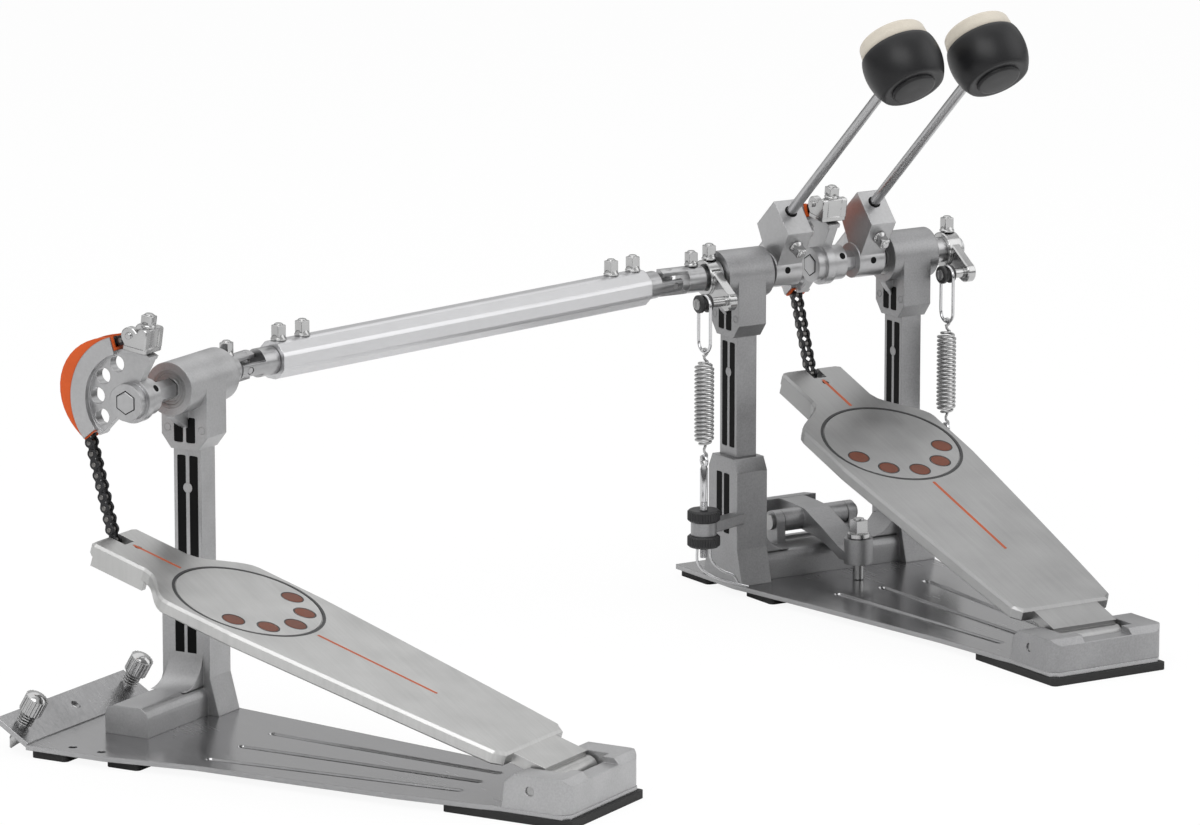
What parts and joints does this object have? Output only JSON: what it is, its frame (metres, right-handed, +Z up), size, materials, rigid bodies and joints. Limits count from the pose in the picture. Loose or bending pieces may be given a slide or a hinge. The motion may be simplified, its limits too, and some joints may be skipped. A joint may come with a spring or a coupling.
{
  "type": "double bass drum pedal",
  "caption": "Double bass drum pedal: hinged footboards with chain-driven cams, twin beaters, coil springs and a telescoping drive shaft with universal joints",
  "frame": {"origin": "On the floor under the middle of the primary pedal's axle", "axes": "X along the primary axle and away from the slave pedal, Y towards the drum, Z up"},
  "size_m": [0.7419, 0.4813, 0.3718],
  "materials": {
    "sheet_steel": "brushed sheet steel",
    "rubber_sole": "matt black rubber",
    "cast_grey": "satin grey painted casting",
    "cast_light": "satin silver painted casting",
    "bearing_steel": "turned steel",
    "black_knurl": "black knurled metal",
    "bolt_chrome": "bright nickel plate",
    "board_grey": "brushed aluminium",
    "board_light": "brushed aluminium",
    "inlay_orange": "satin orange inlay",
    "track_orange": "satin orange plastic",
    "axle_chrome": "polished chrome",
    "chain_steel": "oiled chain steel",
    "rod_steel": "polished rod",
    "head_black": "satin black plastic",
    "felt_cream": "pressed felt",
    "spring_steel": "bright spring wire",
    "tube_silver": "satin anodised tube",
    "yoke_steel": "dark steel"
  },
  "bodies": {
    "primary_frame": {"primary_base_plate": "sheet_steel", "primary_rubber_pads": "rubber_sole", "primary_foot_casting": "cast_grey", "primary_uprights": "cast_grey", "primary_bearings": "bearing_steel", "primary_heel_block": "cast_grey", "primary_pins": "bearing_steel", "spring_tension_rods": "bearing_steel", "spring_tension_nuts": "black_knurl"},
    "clamp_lever": {"hoop_clamp_lever": "cast_grey"},
    "clamp_bolt": {"hoop_clamp_bolt": "bolt_chrome"},
    "primary_board": {"primary_footboard": "board_grey", "primary_board_inlays": "inlay_orange"},
    "primary_drive": {"primary_axle": "axle_chrome", "primary_cam": "cast_grey", "primary_cam_track": "track_orange", "primary_chain_clamp": "bolt_chrome", "right_beater_holder": "cast_grey", "right_spring_rocker": "axle_chrome", "primary_axle_bolts": "bolt_chrome"},
    "primary_chain_a": {"primary_chain_upper": "chain_steel"},
    "primary_chain_b": {"primary_chain_lower": "chain_steel"},
    "primary_chain_c": {"primary_chain_drop": "chain_steel"},
    "right_beater": {"right_beater_rod": "rod_steel", "right_beater_head": "head_black", "right_beater_felt": "felt_cream"},
    "left_drive": {"left_axle": "axle_chrome", "left_beater_holder": "cast_grey", "left_spring_rocker": "axle_chrome", "left_axle_bolts": "bolt_chrome"},
    "left_beater": {"left_beater_rod": "rod_steel", "left_beater_head": "head_black", "left_beater_felt": "felt_cream"},
    "left_hook": {"left_spring_hook": "spring_steel", "left_spring": "spring_steel"},
    "right_hook": {"right_spring_hook": "spring_steel", "right_spring": "spring_steel"},
    "slave_frame": {"slave_base_plate": "sheet_steel", "slave_rubber_pads": "rubber_sole", "slave_foot_casting": "cast_light", "slave_upright": "cast_light", "slave_bearings": "bearing_steel", "slave_heel_block": "cast_light", "slave_heel_pin": "bearing_steel", "spur_springs": "bolt_chrome"},
    "spur_left": {"floor_spur_left": "bolt_chrome"},
    "spur_right": {"floor_spur_right": "bolt_chrome"},
    "slave_board": {"slave_footboard": "board_light", "slave_board_inlays": "inlay_orange"},
    "slave_drive": {"slave_axle": "axle_chrome", "slave_cam": "cast_light", "slave_cam_track": "track_orange", "slave_chain_clamp": "bolt_chrome"},
    "slave_chain_a": {"slave_chain_upper": "chain_steel"},
    "slave_chain_b": {"slave_chain_lower": "chain_steel"},
    "slave_chain_c": {"slave_chain_drop": "chain_steel"},
    "drive_shaft": {"drive_tube": "tube_silver", "drive_tube_bolts": "bolt_chrome", "slave_side_yoke": "yoke_steel"},
    "primary_yoke": {"primary_side_yoke": "yoke_steel"}
  },
  "joints": [
    {"name": "primary_axle_turn", "type": "hinge", "parent": "primary_frame", "child": "primary_drive", "pos_m": [0, 0, 0.2], "axis": [1, 0, 0], "range_deg": [-46, 0], "stiffness_Nm_per_rad": 1.2, "springref_deg": 20.05},
    {"name": "left_axle_turn", "type": "hinge", "parent": "primary_frame", "child": "left_drive", "pos_m": [0, 0, 0.2], "axis": [1, 0, 0], "range_deg": [-46, 0], "stiffness_Nm_per_rad": 1.2, "springref_deg": 20.05},
    {"name": "slave_pedal_slide", "type": "slide", "parent": "primary_frame", "child": "slave_frame", "axis": [-0.9703, -0.2419, 0], "range_m": [0, 0.045]},
    {"name": "slave_axle_turn", "type": "hinge", "parent": "slave_frame", "child": "slave_drive", "pos_m": [-0.56076, -0.13919, 0.2], "axis": [0.8829, 0.4695, 0], "range_deg": [-46, 0]},
    {"name": "drive_shaft_turn", "type": "hinge", "parent": "slave_frame", "child": "drive_shaft", "pos_m": [-0.46187, -0.08661, 0.2], "axis": [0.9703, 0.2419, 0], "range_deg": [-46, 0]},
    {"name": "shaft_yoke_turn", "type": "hinge", "parent": "primary_frame", "child": "primary_yoke", "pos_m": [-0.1145, 0, 0.2], "axis": [0.9703, 0.2419, 0], "range_deg": [-46, 0]},
    {"name": "primary_board_hinge", "type": "hinge", "parent": "primary_frame", "child": "primary_board", "pos_m": [0, -0.282, 0.0186], "axis": [1, 0, 0], "range_deg": [-6.06, 0]},
    {"name": "primary_chain_foot", "type": "hinge", "parent": "primary_board", "child": "primary_chain_c", "pos_m": [0, 0.00905, 0.1224], "axis": [1, 0, 0], "range_deg": [0, 17.12]},
    {"name": "primary_chain_top", "type": "hinge", "parent": "primary_drive", "child": "primary_chain_a", "pos_m": [0, 0.02965, 0.21859], "axis": [1, 0, 0], "range_deg": [0, 20.83]},
    {"name": "primary_chain_middle", "type": "hinge", "parent": "primary_chain_a", "child": "primary_chain_b", "pos_m": [0, 0.035, 0.20052], "axis": [1, 0, 0], "range_deg": [0, 26.03]},
    {"name": "slave_board_hinge", "type": "hinge", "parent": "slave_frame", "child": "slave_board", "pos_m": [-0.42836, -0.38818, 0.0186], "axis": [0.8829, 0.4695, 0], "range_deg": [-5.77, 0]},
    {"name": "slave_chain_foot", "type": "hinge", "parent": "slave_board", "child": "slave_chain_c", "pos_m": [-0.56676, -0.1279, 0.11125], "axis": [0.8829, 0.4695, 0], "range_deg": [0, 13.51]},
    {"name": "slave_chain_top", "type": "hinge", "parent": "slave_drive", "child": "slave_chain_a", "pos_m": [-0.57383, -0.1146, 0.2212], "axis": [0.8829, 0.4695, 0], "range_deg": [0, 17.32]},
    {"name": "slave_chain_middle", "type": "hinge", "parent": "slave_chain_a", "child": "slave_chain_b", "pos_m": [-0.5771, -0.10846, 0.20368], "axis": [0.8829, 0.4695, 0], "range_deg": [0, 26.03]},
    {"name": "right_spring_stretch", "type": "slide", "parent": "primary_frame", "child": "right_hook", "axis": [0, 0, 1], "range_m": [0, 0.01951], "deforming": ["right_spring"]},
    {"name": "left_spring_stretch", "type": "slide", "parent": "primary_frame", "child": "left_hook", "axis": [0, 0, 1], "range_m": [0, 0.01951], "deforming": ["left_spring"]},
    {"name": "right_beater_height", "type": "slide", "parent": "primary_drive", "child": "right_beater", "axis": [0, -0.7431, 0.6691], "range_m": [-0.025, 0.02]},
    {"name": "left_beater_height", "type": "slide", "parent": "left_drive", "child": "left_beater", "axis": [0, -0.7431, 0.6691], "range_m": [-0.025, 0.02]},
    {"name": "hoop_clamp_turn", "type": "hinge", "parent": "primary_frame", "child": "clamp_lever", "pos_m": [0, 0.01, 0.0375], "axis": [1, 0, 0], "range_deg": [0, 9]},
    {"name": "clamp_bolt_screw", "type": "slide", "parent": "clamp_lever", "child": "clamp_bolt", "axis": [0, 0, 1], "range_m": [0, 0.0085]},
    {"name": "left_spur_screw", "type": "slide", "parent": "slave_frame", "child": "spur_left", "axis": [0.2418, -0.4548, 0.8572], "range_m": [0, 0.005]},
    {"name": "right_spur_screw", "type": "slide", "parent": "slave_frame", "child": "spur_right", "axis": [0.2418, -0.4548, 0.8572], "range_m": [0, 0.005]}
  ],
  "couplings": [
    {"joint": "slave_axle_turn", "follows": "left_axle_turn", "ratio": 1},
    {"joint": "drive_shaft_turn", "follows": "left_axle_turn", "ratio": 1},
    {"joint": "shaft_yoke_turn", "follows": "left_axle_turn", "ratio": 1},
    {"joint": "primary_board_hinge", "follows": "primary_axle_turn", "ratio": 0.13154},
    {"joint": "primary_chain_foot", "follows": "primary_axle_turn", "ratio": -0.3719},
    {"joint": "primary_chain_top", "follows": "primary_axle_turn", "ratio": -0.45269},
    {"joint": "primary_chain_middle", "follows": "primary_axle_turn", "ratio": -0.56573},
    {"joint": "slave_board_hinge", "follows": "left_axle_turn", "ratio": 0.1252},
    {"joint": "slave_chain_foot", "follows": "left_axle_turn", "ratio": -0.29341},
    {"joint": "slave_chain_top", "follows": "left_axle_turn", "ratio": -0.37619},
    {"joint": "slave_chain_middle", "follows": "left_axle_turn", "ratio": -0.56573},
    {"joint": "right_spring_stretch", "follows": "primary_axle_turn", "m_per_rad": -0.024288},
    {"joint": "left_spring_stretch", "follows": "left_axle_turn", "m_per_rad": -0.024288},
    {"joint": "clamp_bolt_screw", "follows": "hoop_clamp_turn", "m_per_rad": 0.054}
  ]
}
